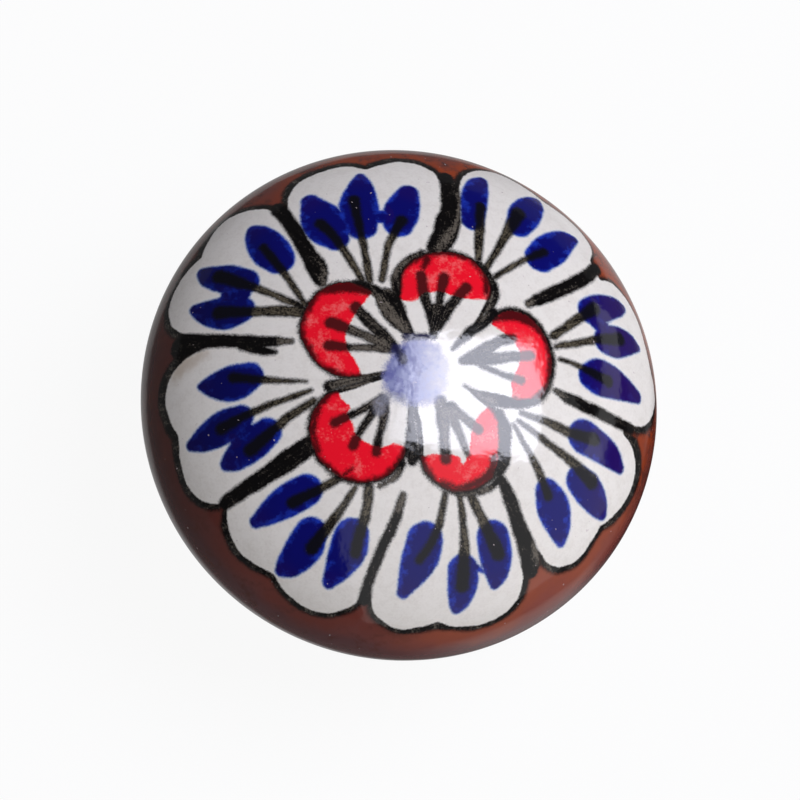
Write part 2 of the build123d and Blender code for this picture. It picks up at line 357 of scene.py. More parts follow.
# Where the red is laid thick and dries dark
DARK_REDS = (
    ((5.1, 6.4, 0.3), (5.0, 7.6, 0.25), (4.2, 8.7, 0.2)),
    ((0.3, 8.1, 0.3), (0.6, 9.0, 0.35)),
    ((-5.7, -8.0, 0.2), (-5.1, -7.5, 0.2)),
    ((-7.2, 6.0, 0.3), (-6.2, 6.35, 0.45), (-5.0, 6.4, 0.5), (-3.8, 5.95, 0.4)),
    ((-7.6, -2.9, 0.3), (-8.0, -4.6, 0.3), (-7.6, -6.2, 0.25)),
    ((5.6, -6.3, 0.3), (5.5, -7.3, 0.4), (4.6, -8.2, 0.35), (3.0, -8.7, 0.25), (1.6, -8.3, 0.2)),
    ((5.8, 4.3, 0.35), (7.3, 4.7, 0.5), (8.6, 4.2, 0.4), (9.3, 3.5, 0.25)),
)

# The strokes between the cups, and the thick shoulders of the top and lower right cups
WEDGES = (
    ((-5.0, 6.85, 0.2), (-3.8, 6.45, 0.32), (-2.8, 5.8, 0.4), (-2.2, 5.5, 0.4)),
    ((-2.6, 5.6, 0.8), (-2.3, 4.9, 1.0), (-1.65, 3.75, 0.74), (-1.1, 3.0, 0.46), (-0.75, 2.5, 0.28)),
    ((5.6, 4.75, 0.45), (4.7, 3.8, 0.45), (3.6, 2.95, 0.4), (2.3, 1.6, 0.18)),
    ((3.3, -1.15, 0.18), (4.6, -1.9, 0.33), (6.0, -2.2, 0.42), (7.5, -2.25, 0.36), (8.8, -1.95, 0.3)),
    ((-0.75, -2.6, 0.2), (-0.75, -4.3, 0.33), (-0.7, -5.6, 0.5), (-0.6, -6.4, 0.55), (-0.6, -6.9, 0.4)),
    ((-3.1, -0.6, 0.12), (-4.3, -0.85, 0.25), (-5.6, -1.05, 0.4), (-6.9, -1.4, 0.45)),
    ((-1.3, -7.1, 0.3), (-1.9, -8.1, 0.28), (-3.0, -8.75, 0.2)),
    ((2.9, -9.2, 0.15), (4.3, -9.05, 0.25), (5.5, -8.5, 0.35), (6.1, -7.9, 0.3)),
    ((-1.9, 6.0, 0.4), (-1.75, 7.4, 0.4), (-1.0, 8.6, 0.3), (0.2, 9.4, 0.25)),
    ((4.6, 8.8, 0.2), (5.55, 7.5, 0.3), (5.75, 6.2, 0.38), (5.2, 5.0, 0.4)),
    ((6.0, -3.0, 0.35), (6.45, -4.2, 0.5), (6.45, -5.6, 0.48), (6.35, -6.7, 0.5), (6.0, -7.5, 0.4)),
)

# The blue middle of the flower, with its darker spots
MIDDLE = (
    (-2.85, -0.35), (-2.3, 1.0), (-1.4, 2.0), (-0.2, 2.45), (0.9, 2.2), (1.7, 1.3), (2.1, 0.1), (1.9, -1.4),
    (1.1, -2.4), (-0.7, -2.75), (-2.2, -2.1), (-2.9, -1.1),
)
NAVY_SPOTS = (
    ((-2.1, 1.7, 0.2), (-1.6, 1.1, 0.35), (-1.4, 0.5, 0.3)),
    ((-1.2, 2.4, 0.25), (-0.4, 2.5, 0.22), (0.3, 2.6, 0.25), (0.9, 2.4, 0.12)),
)

# Where grey wash runs from the middle into the lower left cup
WASHES = (
    ((-1.3, -2.3, 0.3), (-2.4, -2.2, 0.4), (-3.05, -2.65, 0.45), (-3.1, -3.2, 0.3)),
)

# Beige stains in the left petal
STAINS = (
    ((-19.0, 0.3, 0.4), (-17.5, 1.3, 0.5), (-16.3, 1.7, 0.2)),
)

# The photograph's view, as the knob's tilt to the camera and the direction that it tilts in
VIEW_TILT = radians(15.62)
VIEW_TURN = radians(58.7)
VIEW_DISTANCE = 300.0
VIEW_CLIP = 10.0
IMAGE_WIDTH = 800
RING_PIXEL = (400.4, 402.6)
PIXELS_PER_MM = 12.988
SENSOR_WIDTH = 36.0

# Light
DAYLIGHT = (0.95, 0.97, 1.12)
ROOM_LIGHT = 0.05

# The floor, with its size in metres and its share of plain white in the view
FLOOR_RADIUS = 3.0
FLOOR_SEGMENTS = 96
FLOOR_COLOUR = (0.8, 0.8, 0.8, 1.0)
FLOOR_ROUGHNESS = 0.9
FLOOR_WHITE_SHARE = 0.93

# How brightly the floor shows in the glaze, as a painted reflection that glows only for mirrored rays, the
# patches where it shows more, and one where it doesn't show
FloorGlowPatch = namedtuple("FloorGlowPatch", "middle outer inner shine")
FLOOR_SHINE = 0.12
FLOOR_GLOW_PATCHES = (
    FloorGlowPatch((42.0, 26.0, 0.0), 36.0, 18.0, 0.5),
    FloorGlowPatch((28.0, -34.0, 0.0), 26.0, 8.0, 0.5),
    FloorGlowPatch((-4.5, 11.4, 0.0), 36.0, 30.0, 0.38),
)
FLOOR_SHADE = (40.0, -6.0, 0.0)
FLOOR_SHADE_RADII = (10.0, 22.0)

# Finishes
GLAZE_ROUGHNESS = 0.085
GLAZE_IOR = 1.61
GLAZE_WAVE_DEPTH = 0.018
CLAY_ROUGHNESS = 0.8
BRASS_MARK_DEPTH = 0.015

# The way to the lower right, where the brown ground is lighter
LOW_SIDE = (0.53, -0.85, 0.0)

# Colours of the ground, as red, green and blue on screen
BROWN = (114, 62, 57)
BROWN_RIM = (100, 60, 60)
# The lit browns are painted light for the upper right, and the left brown is painted shade
BROWN_LIT = (130, 56, 36)
BROWN_BESIDE = (114, 54, 44)
BROWN_BESIDE_LIT = (154, 60, 22)
BROWN_SHADED_LEFT = (70, 34, 31)
BROWN_PATCH = (92, 46, 38)
BROWN_LOW = (146, 77, 64)
BROWN_LOW_RIM = (110, 56, 54)
BROWN_LOW_BESIDE = (156, 80, 56)

# Colours of the brush lines
BLACK = (6, 4, 5)
BLACK_WORN = (106, 98, 87)
BLACK_RIM = (62, 51, 43)
BLACK_GRAINS = (78, 70, 62)
BLACK_IN_BLUE = (8, 7, 20)
BLACK_IN_RED = (86, 16, 20)
OLIVE_WORN = (102, 93, 76)

# Colours of the petals, buds and cups
WHITE = (243, 237, 227)
WHITE_CLOUDED = (233, 226, 215)
BEIGE_STAIN = (196, 178, 156)
BROWN_SPECK = (128, 110, 96)
BLUE = (3, 5, 104)
BLUE_BRIGHT = (24, 52, 170)
# Painted shade: the darker blue of the shaded left
BLUE_SHADED_LEFT = (2, 4, 52)
BLUE_RIM = (132, 160, 206)
# Painted reflection: purple on the buds
PURPLE_REFLECTION = (38, 8, 88)
RED = (253, 18, 42)
RED_BLOTCH = (254, 100, 100)
RED_THICK = (84, 6, 13)

# Colours of the middle
PERIWINKLE = (146, 150, 190)
PERIWINKLE_CLOUD = (108, 110, 166)
PERIWINKLE_FLECK = (66, 66, 104)
PERIWINKLE_TOP = (86, 90, 152)
GREY_WASH = (146, 146, 158)
NAVY = (22, 20, 62)

# Colours of the dust and painted glints, the clay and the brass
PALE_DUST_AND_GLINTS = (206, 190, 188)
CLAY = (206, 190, 166)
CLAY_FLECK = (184, 160, 132)
BRASS = (214, 178, 104)
BRASS_MARKS = (188, 148, 78)
BRASS_TARNISH = (136, 98, 52)


def paint_colour(red, green, blue):
    """A colour given as 0 to 255 on screen, as the renderer takes it."""
    def channel(value):
        share = value / 255
        if share <= 0.04045:
            return share / 12.92
        return ((share + 0.055) / 1.055) ** 2.4
    return (channel(red), channel(green), channel(blue), 1.0)


# Distances on the unrolled dome

def smooth_run(points):
    """More points along a smooth line through the given ones, with what each carries."""
    known = np.array(points, float)
    ends = np.vstack([2 * known[0] - known[1], known, 2 * known[-1] - known[-2]])
    run = []
    for before, start, end, after in zip(ends, ends[1:], ends[2:], ends[3:]):
        for share in np.arange(STEPS_PER_SPAN) / STEPS_PER_SPAN:
            bend = (2 * before - 5 * start + 4 * end - after) * share ** 2
            twist = (3 * start - before - 3 * end + after) * share ** 3
            run.append(0.5 * (2 * start + (end - before) * share + bend + twist))
    run.append(known[-1])
    return np.array(run)


def smooth_loop(points):
    """A smooth closed line through the points."""
    known = list(points)
    run = smooth_run(known[-2:] + known + known[:2])
    return run[2 * STEPS_PER_SPAN:-1 - STEPS_PER_SPAN]


def near_points(places, points):
    """Which places lie within reach of the box round some points."""
    low = points[:, :2].min(axis=0) - REACH
    high = points[:, :2].max(axis=0) + REACH
    return np.all((places > low) & (places < high), axis=1)


def gap_to_run(places, start, end):
    """Distance from each place to a straight run, and how far along the run its nearest point is."""
    run = end[:2] - start[:2]
    share = np.clip((places - start[:2]) @ run / max(run @ run, TINY), 0, 1)
    return np.linalg.norm(places - start[:2] - share[:, None] * run, axis=1), share


def stroke_distance(places, spine):
    """Distance from each place to the edge of a brush stroke, below zero inside it."""
    nodes = smooth_run(spine)
    near = near_points(places, nodes)
    found = np.full(np.count_nonzero(near), FAR)
    for start, end in zip(nodes[:-1], nodes[1:]):
        gap, share = gap_to_run(places[near], start, end)
        found = np.minimum(found, gap - start[2] - share * (end[2] - start[2]))
    nearest = np.full(len(places), FAR)
    nearest[near] = found
    return nearest


def strokes_distance(places, spines):
    """Distance to the nearest of several brush strokes."""
    return np.min([stroke_distance(places, spine) for spine in spines], axis=0)


def outline_distance(places, outline):
    """Distance from each place to a closed outline, below zero inside it."""
    near = near_points(places, outline)
    found = np.full(np.count_nonzero(near), FAR)
    inside = np.zeros(len(found), bool)
    right, up = places[near].T
    for start, end in zip(outline, np.roll(outline, -1, axis=0)):
        gap, share = gap_to_run(places[near], start, end)
        found = np.minimum(found, gap)
        rise = end[1] - start[1]
        if rise:
            crossing = start[0] + (up - start[1]) * (end[0] - start[0]) / rise
            inside ^= ((start[1] > up) != (end[1] > up)) & (right < crossing)
    nearest = np.full(len(places), FAR)
    nearest[near] = np.where(inside, -found, found)
    return nearest


def tip_share(places, buds):
    """How far towards the tip of its bud each place is, from 0 to 1."""
    nearest = np.full(len(places), FAR)
    share_to_tip = np.zeros(len(places))
    for bud in buds:
        gap, share = gap_to_run(places, np.array(bud[0]), np.array(bud[-1]))
        share_to_tip = np.where(gap < nearest, share, share_to_tip)
        nearest = np.minimum(nearest, gap)
    return share_to_tip


def unrolled(places):
    """Places on the knob, in millimetres, as right and up on the unrolled dome."""
    flat = np.hypot(places[:, 0], places[:, 1])
    height = places[:, 2] - WIDEST_RING
    slope = np.arctan2(flat / HEAD_RADIUS, np.maximum(height, 0) / DOME_HEIGHT)
    ratio = DOME_HEIGHT / HEAD_RADIUS
    bow = np.sin(slope) * np.cos(slope)
    run = HEAD_RADIUS * ((1 + ratio) / 2 * slope + (1 - ratio) / 2 * bow) + np.maximum(-height, 0)
    return places[:, :2] * (run / np.maximum(flat, TINY))[:, None]


def paint_layers(places):
    """Each layer of paint by name, as millimetres to its edge, and how far along its bud a place is."""
    spread = unrolled(places)
    stamens = [stamen for cup in CUPS for stamen in cup.stamens]
    flower = outline_distance(spread, np.vstack([smooth_run(scallop)[:, :2] for scallop in SCALLOPS]))
    cups = [outline_distance(spread, smooth_loop(cup.edge)) for cup in CUPS]
    crescents = [outline_distance(spread, smooth_loop(cup.crescent)) for cup in CUPS]
    lined = [edge - cup.outline for edge, cup in zip(cups, CUPS)]
    red = [np.maximum(edge - RED_SPILL, crescent) for edge, crescent in zip(cups, crescents)]
    height = places[:, 2]
    inward = np.hypot(places[:, 0], places[:, 1]) < SEAT_RECESS_RADIUS + EDGE_SLACK
    hollow = inward & (height < HOLE_END + EDGE_SLACK)
    return {
        "petal": flower,
        "petal_outline": np.minimum(flower, strokes_distance(spread, SCALLOPS)),
        "bud": strokes_distance(spread, BUDS),
        "bud_tip": tip_share(spread, BUDS),
        "stem": strokes_distance(spread, STEMS),
        "separator": strokes_distance(spread, SEPARATORS),
        "dry": strokes_distance(spread, DRY_STROKES),
        "cup": np.min(cups, axis=0),
        "cup_outline": np.min(lined, axis=0),
        "crescent": np.min(red, axis=0),
        "dark_red": strokes_distance(spread, DARK_REDS),
        "stamen": strokes_distance(spread, stamens),
        "wedge": strokes_distance(spread, WEDGES),
        "middle": outline_distance(spread, smooth_loop(MIDDLE)),
        "navy_spot": strokes_distance(spread, NAVY_SPOTS),
        "wash": strokes_distance(spread, WASHES),
        "stain": strokes_distance(spread, STAINS),
        "bare": np.where(hollow, -FAR, height - GLAZE_LINE),
    }


# Mesh

def quarter_ellipse(start, corner, end, rings):
    """Points of a quarter ellipse, tangent at both ends to the sides of its corner, without its end."""
    centre = Vector(start) + Vector(end) - Vector(corner)
    points = []
    for i in range(rings):
        turn = pi / 2 * i / rings
        points.append(centre + (Vector(start) - centre) * cos(turn) + (Vector(end) - centre) * sin(turn))
    return points


def knob_section():
    """Half section of the ceramic, as radius and height, from the top of the dome round to the hole's end."""
    neck_edge = NECK_RADIUS + COVE_RADIUS
    rim_top = (FOOT_RADIUS, FOOT_RIM_HEIGHT - FOOT_EDGE_RADIUS)
    flare_end = (FOOT_RADIUS - FOOT_EDGE_RADIUS / 2, FOOT_RIM_HEIGHT)
    seat_edge = (FOOT_RADIUS - FOOT_EDGE_RADIUS, 0)
    mouth = HOLE_RADIUS + HOLE_MOUTH_CHAMFER
    return [
        *quarter_ellipse((0, APEX), (HEAD_RADIUS, APEX), (HEAD_RADIUS, WIDEST_RING), DOME_RINGS),
        *quarter_ellipse((HEAD_RADIUS, WIDEST_RING), (HEAD_RADIUS, UNDERSIDE), (neck_edge, UNDERSIDE),
                         UNDERSIDE_RINGS),
        *quarter_ellipse((neck_edge, UNDERSIDE), (NECK_RADIUS, UNDERSIDE), (NECK_RADIUS, NECK_TOP),
                         COVE_RINGS),
        (NECK_RADIUS, NECK_TOP),
        *quarter_ellipse((NECK_RADIUS, NECK_BOTTOM), (NECK_RADIUS, FOOT_RIM_HEIGHT), flare_end,
                         FLARE_RINGS),
        *quarter_ellipse(flare_end, (FOOT_RADIUS, FOOT_RIM_HEIGHT), rim_top, EDGE_RINGS),
        rim_top,
        *quarter_ellipse((FOOT_RADIUS, FOOT_EDGE_RADIUS), (FOOT_RADIUS, 0), seat_edge, EDGE_RINGS),
        seat_edge,
        (SEAT_RECESS_RADIUS, 0),
        (SEAT_RECESS_RADIUS, SEAT_RECESS_DEPTH),
        (mouth, SEAT_RECESS_DEPTH),
        (HOLE_RADIUS, SEAT_RECESS_DEPTH + HOLE_MOUTH_CHAMFER),
        (HOLE_RADIUS, HOLE_END),
        (0, HOLE_END),
    ]


def drawn(shape, section):
    """Draws a half section, given as radius and height in millimetres, on the plane of X and Z."""
    line = [shape.verts.new((radius * MM, 0, height * MM)) for radius, height in section]
    return line + [shape.edges.new(pair) for pair in zip(line, line[1:])]


def everything(shape):
    return shape.verts[:] + shape.edges[:] + shape.faces[:]


def spun(shape, geometry, angle, steps, rise=0, **options):
    """Spins geometry round the knob's axis, rising a little at each step."""
    bmesh.ops.spin(shape, geom=geometry, cent=(0, 0, 0), axis=(0, 0, 1), dvec=(0, 0, rise), angle=angle,
                   steps=steps, **options)


def turned(shape, section):
    """Spins a half section into a sector, and copies that round the axis."""
    sector = 2 * pi / TURN_SECTORS
    spun(shape, drawn(shape, section), sector, SECTOR_STEPS)
    spun(shape, everything(shape), 2 * pi - sector, TURN_SECTORS - 1, use_duplicate=True)
    bmesh.ops.remove_doubles(shape, verts=shape.verts, dist=WELD_DISTANCE)


def finished_piece(name, shape, material):
    """Makes a piece of the mesh, smooth apart from its sharp edges."""
    bmesh.ops.recalc_face_normals(shape, faces=shape.faces)
    for face in shape.faces:
        face.smooth = True
    for edge in shape.edges:
        edge.smooth = edge.calc_face_angle(0) < SHARP_ANGLE
    mesh = bpy.data.meshes.new(name)
    shape.to_mesh(mesh)
    shape.free()
    mesh.materials.append(material)
    piece = bpy.data.objects.new(name, mesh)
    bpy.context.scene.collection.objects.link(piece)
    return piece


def painted_knob():
    """The glazed ceramic, turned finely enough to carry its paint."""
    shape = bmesh.new()
    turned(shape, knob_section())
    knob = finished_piece("painted_knob", shape, painted_glaze())
    count = len(knob.data.vertices)
    places = np.zeros(3 * count, np.float32)
    knob.data.vertices.foreach_get("co", places)
    for layer, distance in paint_layers(places.reshape(-1, 3) / MM).items():
        attribute = knob.data.attributes.new(layer, "FLOAT", "POINT")
        attribute.data.foreach_set("value", distance.astype(np.float32))
    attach(knob, "root")
    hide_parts("ceramic_knob")


def cut_thread(shape, bottom, top):
    """The flanks of a thread, screwed up the axis and cut off flat at both ends."""
    flank = (THREAD_PITCH - THREAD_CREST - THREAD_ROOT) / 2
    section = []
    height = bottom - 2 * THREAD_PITCH
    while height < top + THREAD_PITCH:
        root = height + THREAD_CREST + flank
        section += [(THREAD_CORE_RADIUS, height), (THREAD_CORE_RADIUS, height + THREAD_CREST)]
        section += [(THREAD_RADIUS, root), (THREAD_RADIUS, root + THREAD_ROOT)]
        height += THREAD_PITCH
    spun(shape, drawn(shape, section), 2 * pi, THREAD_STEPS, rise=THREAD_PITCH * MM / THREAD_STEPS)
    bmesh.ops.remove_doubles(shape, verts=shape.verts, dist=THREAD_WELD_DISTANCE)
    for height, outwards in ((bottom, -1), (top, 1)):
        bmesh.ops.bisect_plane(shape, geom=everything(shape), dist=WELD_DISTANCE,
                               plane_co=(0, 0, height * MM), plane_no=(0, 0, outwards), clear_outer=True)


def tapped_insert():
    """The brass insert: two knurled bands with a groove between them, and a thread right through."""
    band = (HOLE_END - INSERT_BOTTOM - INSERT_GROOVE_WIDTH) / 2
    groove = INSERT_RADIUS - INSERT_GROOVE_DEPTH
    mouth = THREAD_CORE_RADIUS + THREAD_COUNTERSINK
    thread_start = INSERT_BOTTOM + THREAD_COUNTERSINK
    shape = bmesh.new()
    cut_thread(shape, thread_start, HOLE_END)
    outside = [
        (mouth, INSERT_BOTTOM),
        (INSERT_RADIUS, INSERT_BOTTOM),
        (INSERT_RADIUS, INSERT_BOTTOM + band),
        (groove, INSERT_BOTTOM + band),
        (groove, HOLE_END - band),
        (INSERT_RADIUS, HOLE_END - band),
        (INSERT_RADIUS, HOLE_END),
        (mouth, HOLE_END),
    ]
    spun(shape, drawn(shape, outside), 2 * pi, 2 * KNURL_TEETH, use_merge=True)
    band_limit = (groove + INSERT_RADIUS) / 2 * MM
    valleys = []
    for vert in shape.verts:
        column = round(atan2(vert.co.y, vert.co.x) * KNURL_TEETH / pi)
        if column % 2 and vert.co.xy.length > band_limit:
            valleys.append(vert)
    share = 1 - KNURL_DEPTH / INSERT_RADIUS
    bmesh.ops.scale(shape, vec=(share, share, 1), verts=valleys)
    rims = [edge for edge in shape.edges if edge.is_boundary]
    halfway = (INSERT_BOTTOM + HOLE_END) / 2 * MM
    bmesh.ops.bridge_loops(shape, edges=[edge for edge in rims if edge.verts[0].co.z < halfway])
    bmesh.ops.bridge_loops(shape, edges=[edge for edge in rims if edge.verts[0].co.z > halfway])
    insert = finished_piece("tapped_insert", shape, turned_brass())
    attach(insert, "root")
    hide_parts("threaded_insert")


# Materials

class Mixing:
    """Adds nodes to a material and joins them up."""

    def __init__(self, name):
        self.material = bpy.data.materials.new(name)
        self.material.use_nodes = True
        self.nodes = self.material.node_tree.nodes
        self.shader = self.nodes["Principled BSDF"]
        scale = self.add("ShaderNodeVectorMath", operation="SCALE")
        scale.inputs["Scale"].default_value = 1 / MM
        self.join(self.add("ShaderNodeTexCoord").outputs["Object"], scale.inputs[0])
        self.place = scale.outputs[0]

    def add(self, kind, **settings):
        node = self.nodes.new(kind)
        for name, value in settings.items():
            setattr(node, name, value)
        return node

    def join(self, source, socket):
        """Links a node's output to a socket, or sets a plain value on it."""
        if isinstance(source, bpy.types.NodeSocket):
            self.material.node_tree.links.new(source, socket)
        else:
            socket.default_value = source

    def sum(self, operation, *values):
        node = self.add("ShaderNodeMath", operation=operation)
        for value, socket in zip(values, node.inputs):
            self.join(value, socket)
        return node.outputs[0]

    def plus(self, value, extra, share):
        """A value with a share of another one added to it."""
        return self.sum("MULTIPLY_ADD", extra, share, value)

    def vector(self, operation, *values):
        node = self.add("ShaderNodeVectorMath", operation=operation)
        for value, socket in zip(values, node.inputs):
            self.join(value, socket)
        return node

    def axes(self):
        """The place's three coordinates."""
        node = self.add("ShaderNodeSeparateXYZ")
        self.join(self.place, node.inputs[0])
        return node.outputs[0], node.outputs[1], node.outputs[2]

    def flat(self):
        """The place, brought down to the seat's plane."""
        return self.vector("MULTIPLY", self.place, (1.0, 1.0, 0.0)).outputs[0]

    def radius(self):
        """How far the place is from the axis."""
        return self.vector("LENGTH", self.flat()).outputs["Value"]

    def distance(self, spot):
        """How far the place is from a spot."""
        return self.vector("DISTANCE", self.place, spot).outputs["Value"]

    def spokes(self, around, along):
        """Places drawn out along the knob's radius, for brush marks."""
        heading = self.vector("NORMALIZE", self.flat()).outputs[0]
        spread = self.vector("MULTIPLY", heading, (around, around, 0.0)).outputs[0]
        outward = self.add("ShaderNodeCombineXYZ")
        self.join(self.sum("MULTIPLY", self.radius(), along), outward.inputs[2])
        return self.vector("ADD", spread, outward.outputs[0]).outputs[0]

    def rings(self):
        """Places as radius and height, for marks that run round the axis."""
        node = self.add("ShaderNodeCombineXYZ")
        self.join(self.radius(), node.inputs[0])
        self.join(self.axes()[2], node.inputs[1])
        return node.outputs[0]

    def layer(self, name):
        return self.add("ShaderNodeAttribute", attribute_name=name).outputs["Fac"]

    def noise(self, per_mm, detail=2.0, rough=0.5, spread=None):
        """Noise about 0, with so many waves in a millimetre."""
        node = self.add("ShaderNodeTexNoise")
        node.inputs["Scale"].default_value = per_mm
        node.inputs["Detail"].default_value = detail
        node.inputs["Roughness"].default_value = rough
        self.join(spread or self.place, node.inputs["Vector"])
        return self.sum("SUBTRACT", node.outputs[0], 0.5)

    def ramp(self, value, low, high, at_low=0.0, at_high=1.0):
        """Goes smoothly from one number to another as a value goes from low to high."""
        node = self.add("ShaderNodeMapRange", interpolation_type="SMOOTHSTEP")
        for name, setting in zip(("Value", "From Min", "From Max", "To Min", "To Max"),
                                 (value, low, high, at_low, at_high)):
            self.join(setting, node.inputs[name])
        return node.outputs[0]

    def over(self, share, under, upper):
        """Lays one colour over another, each a node's output or a paint's red, green and blue."""
        node = self.add("ShaderNodeMix", data_type="RGBA")
        self.join(share, node.inputs[0])
        for colour, socket in ((under, node.inputs[6]), (upper, node.inputs[7])):
            self.join(paint_colour(*colour) if isinstance(colour, tuple) else colour, socket)
        return node.outputs[2]

    def blend(self, share, low, high):
        """Mixes two numbers."""
        node = self.add("ShaderNodeMix", data_type="FLOAT")
        for setting, socket in zip((share, low, high), (node.inputs[0], node.inputs[2], node.inputs[3])):
            self.join(setting, socket)
        return node.outputs[0]

    def bump(self, height, depth):
        """Raises the surface by a height of 0 to 1, to a depth in millimetres."""
        node = self.add("ShaderNodeBump")
        node.inputs["Strength"].default_value = 1.0
        node.inputs["Distance"].default_value = depth * MM
        self.join(height, node.inputs["Height"])
        self.join(node.outputs[0], self.shader.inputs["Normal"])


class Painting(Mixing):
    """The paint under the glaze, laid on layer by layer."""

    def __init__(self, name):
        super().__init__(name)
        self.across, self.upward, self.height = self.axes()
        self.patch = self.noise(0.35, 4.0, 0.6)
        self.cloud = self.noise(1.3, 3.0, 0.6)
        self.fleck = self.noise(5.0, 3.0, 0.65)
        self.grit = self.sum("MULTIPLY", self.noise(6.0, 4.0, 0.8), 1.8)
        waver = self.sum("MULTIPLY", self.noise(1.1, 3.0), 0.3)
        self.shaky = self.plus(waver, self.noise(7.0, 3.0, 0.7), 0.36)
        bristles = self.noise(1.0, 3.0, 0.6, self.spokes(42.0, 0.45))
        self.streak = self.plus(self.sum("ADD", bristles, self.grit), self.cloud, 0.7)
        self.dry = self.ramp(self.plus(self.layer("dry"), self.fleck, 0.8), 0.35, -0.25)

    def edge_of(self, name, shake):
        """Distance to a layer's edge, made shaky."""
        return self.plus(self.layer(name), self.shaky, shake)

    def within(self, distance, soft, spill=0.0):
        """How much of a layer lies at a place, with a soft edge that may spill over."""
        return self.ramp(distance, self.sum("ADD", soft, spill), self.sum("SUBTRACT", spill, soft))

    def ink(self, distance, dryness, worn_tone=BLACK_WORN):
        """Black that pools at its edges, grainy inside where the brush runs dry, with a brown rim."""
        inner = self.ramp(distance, -0.02, -0.24)
        worn = self.ramp(self.plus(self.streak, dryness, 0.5), 0.1, 0.72)
        black = self.over(self.sum("MULTIPLY", inner, worn), BLACK, worn_tone)
        return self.over(self.ramp(distance, -0.08, 0.16, 0.0, 0.7), black, BLACK_RIM)

    def drier(self, least):
        """How dry the brush is, at least so much."""
        return self.sum("MAXIMUM", self.dry, least)

    def filled(self, base, name, shake, soft, tone):
        """Lays a tone all over a layer."""
        return self.over(self.within(self.edge_of(name, shake), soft), base, tone)

    def inked(self, base, name, shake, dryness, soft=0.17):
        """Lays a layer's black brush strokes."""
        edge = self.edge_of(name, shake)
        return self.over(self.within(edge, soft), base, self.ink(edge, dryness))

    def ground(self):
        """Brown, redder by the petals, greyer at the rim, with painted light at the upper right, painted
        shade at the left, and a lighter brown at the lower right.
        """
        beside = self.ramp(self.plus(self.layer("petal"), self.patch, 4.0), 3.0, 0.3)
        # Painted light: the side towards the lamps, to the upper right, gets lighter browns
        lit_side = self.ramp(self.sum("ADD", self.across, self.upward), -6.0, 18.0)
        rim = self.ramp(self.height, WIDEST_RING + 3.4, WIDEST_RING + 2.2)
        brown = self.over(rim, BROWN, BROWN_RIM)
        brown = self.over(self.sum("MULTIPLY", lit_side, 0.65), brown, BROWN_LIT)
        brown = self.over(beside, brown, self.over(lit_side, BROWN_BESIDE, BROWN_BESIDE_LIT))
        # Painted shade: the brown darkens towards the left, away from the lamps
        brown = self.over(self.ramp(self.across, -11.0, -19.0, 0.0, 0.7), brown, BROWN_SHADED_LEFT)
        patches = self.ramp(self.plus(self.patch, self.cloud, 0.7), -0.02, 0.24)
        brown = self.over(patches, brown, BROWN_PATCH)
        low_side = self.vector("DOT_PRODUCT", self.place, LOW_SIDE).outputs["Value"]
        low_rim = self.ramp(self.height, WIDEST_RING + 3.4, WIDEST_RING + 1.0)
        low = self.over(beside, self.over(low_rim, BROWN_LOW, BROWN_LOW_RIM), BROWN_LOW_BESIDE)
        return self.over(self.ramp(low_side, 14.0, 18.0, 0.0, 0.85), brown, low)

    def white(self):
        """White with faint clouds, beige stains and brown specks."""
        clouded = self.ramp(self.sum("ADD", self.cloud, self.fleck), -0.2, 0.4)
        tone = self.over(clouded, WHITE, WHITE_CLOUDED)
        stain = self.ramp(self.plus(self.layer("stain"), self.cloud, 1.5), 0.6, -0.5, 0.0, 0.7)
        speck = self.ramp(self.noise(3.4, 1.0), 0.29, 0.34, 0.0, 0.8)
        return self.over(speck, self.over(stain, tone, BEIGE_STAIN), BROWN_SPECK)

    def petals(self, base, white):
        """White petals with black outlines."""
        base = self.inked(base, "petal_outline", 1.0, 0.3, 0.26)
        return self.filled(base, "petal", 0.8, 0.08, white)

    def buds(self, base):
        """Blue buds, brighter in patches, with a painted purple reflection at the tips and to the right, and
        painted shade darker to the left.
        """
        bud = self.edge_of("bud", 0.6)
        bright = self.ramp(self.plus(bud, self.cloud, 2.4), -0.5, 0.25)
        blue = self.over(bright, BLUE, BLUE_BRIGHT)
        # Painted reflection: purple at the bud tips and towards the right
        reflecting_tips = self.ramp(self.layer("bud_tip"), 0.6, 1.0, 0.0, 0.3)
        reflected_purple = self.sum("MAXIMUM", reflecting_tips, self.ramp(self.across, 11.5, 16.0, 0.0, 0.85))
        blue = self.over(reflected_purple, blue, PURPLE_REFLECTION)
        # Painted shade: the blue darkens towards the left
        blue = self.over(self.ramp(self.across, -9.0, -16.0, 0.0, 0.5), blue, BLUE_SHADED_LEFT)
        base = self.over(self.within(bud, 0.15, 0.06), base, BLUE_RIM)
        return self.over(self.within(bud, 0.12), base, blue)

    def stems(self, base):
        """Stems, thin and olive over the white, and soft and dark in the blue."""
        stem = self.edge_of("stem", 0.8)
        in_bud = self.ramp(self.layer("bud"), 0.2, -0.3)
        tone = self.over(in_bud, self.ink(stem, 0.72, OLIVE_WORN), BLACK_IN_BLUE)
        return self.over(self.within(stem, self.blend(in_bud, 0.17, 0.22)), base, tone)

    def red(self):
        """Red with pale blotches, dark where it is laid thick."""
        blotch = self.plus(self.noise(0.75, 3.0, 0.6), self.fleck, 0.5)
        tone = self.over(self.ramp(blotch, 0.0, 0.26), RED, RED_BLOTCH)
        thick = self.ramp(self.plus(self.layer("cup"), self.cloud, 0.8), -0.3, 0.15)
        thick = self.sum("MAXIMUM", thick, self.ramp(self.edge_of("dark_red", 1.5), 0.2, -0.25))
        return self.over(thick, tone, RED_THICK)

